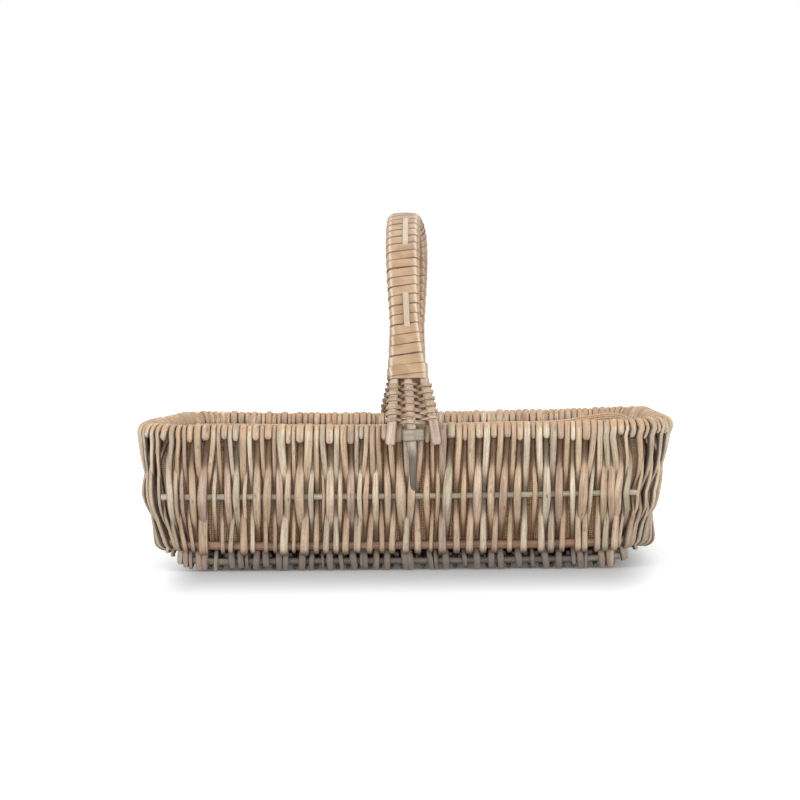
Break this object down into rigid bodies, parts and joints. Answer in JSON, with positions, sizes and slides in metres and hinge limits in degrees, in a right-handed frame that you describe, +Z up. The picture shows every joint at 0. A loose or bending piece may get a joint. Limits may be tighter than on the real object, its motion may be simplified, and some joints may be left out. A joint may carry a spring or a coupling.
{
  "type": "garden trug",
  "caption": "Shallow rectangular willow basket with a hessian lining and a fixed bow handle bound with flat cane, for carrying garden tools or cut flowers.",
  "frame": {"origin": "centre of the basket's footprint, on the table that it rests on", "axes": "+X along the basket, +Y across it from front to back under the handle, +Z up"},
  "size_m": [0.476, 0.32, 0.3199],
  "materials": {
    "willow_strands": "matt washed willow rods",
    "willow_ribs": "matt grey-green willow with bark",
    "willow_hoops": "matt reddish-brown willow",
    "handle_sticks": "matt peeled willow",
    "cane": "satin flat cane",
    "hessian": "coarse brown hessian"
  },
  "bodies": {
    "root": {"rim_hoop": "willow_hoops", "base_hoop": "willow_hoops", "mid_rib_front": "willow_ribs", "mid_rib_back": "willow_ribs", "mid_rib_left": "willow_ribs", "mid_rib_right": "willow_ribs", "base_rib_1": "willow_ribs", "base_rib_2": "willow_ribs", "base_rib_3": "willow_ribs", "base_rib_4": "willow_ribs", "base_rib_5": "willow_ribs", "weave_front": "willow_strands", "weave_back": "willow_strands", "weave_left": "willow_strands", "weave_right": "willow_strands", "weave_corner_front_left": "willow_strands", "weave_corner_front_right": "willow_strands", "weave_corner_back_left": "willow_strands", "weave_corner_back_right": "willow_strands", "weave_base": "willow_strands", "bow_stick_left": "handle_sticks", "bow_stick_middle": "handle_sticks", "bow_stick_right": "handle_sticks", "binding_front": "cane", "binding_back": "cane", "lace_top": "cane", "lace_leg": "cane", "foot_weave_front": "willow_strands", "foot_weave_back": "willow_strands", "lining": "hessian"}
  },
  "joints": []
}
